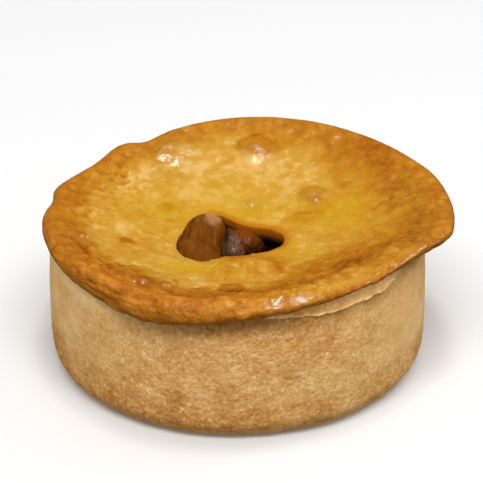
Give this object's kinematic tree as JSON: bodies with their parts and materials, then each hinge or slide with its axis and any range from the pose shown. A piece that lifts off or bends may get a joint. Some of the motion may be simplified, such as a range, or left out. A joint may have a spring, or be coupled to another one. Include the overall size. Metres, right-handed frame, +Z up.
{
  "type": "meat and potato pie",
  "caption": "Round baked pie with a straight-sided pastry case, a sunken glazed lid with an uneven rolled rim, and a torn steam vent that shows the filling.",
  "frame": {"origin": "centre of the flat base, on the surface the pie stands on", "axes": "+Z up through the lid, -Y towards the front of the pie, +X to the right as seen from the front"},
  "size_m": [0.1045, 0.103, 0.0413],
  "materials": {
    "case_crust": "matte",
    "glazed_lid": "satin",
    "filling": "gloss"
  },
  "bodies": {
    "root": {"pastry_case": "case_crust", "pastry_lid": "glazed_lid", "filling": "filling"}
  },
  "joints": []
}
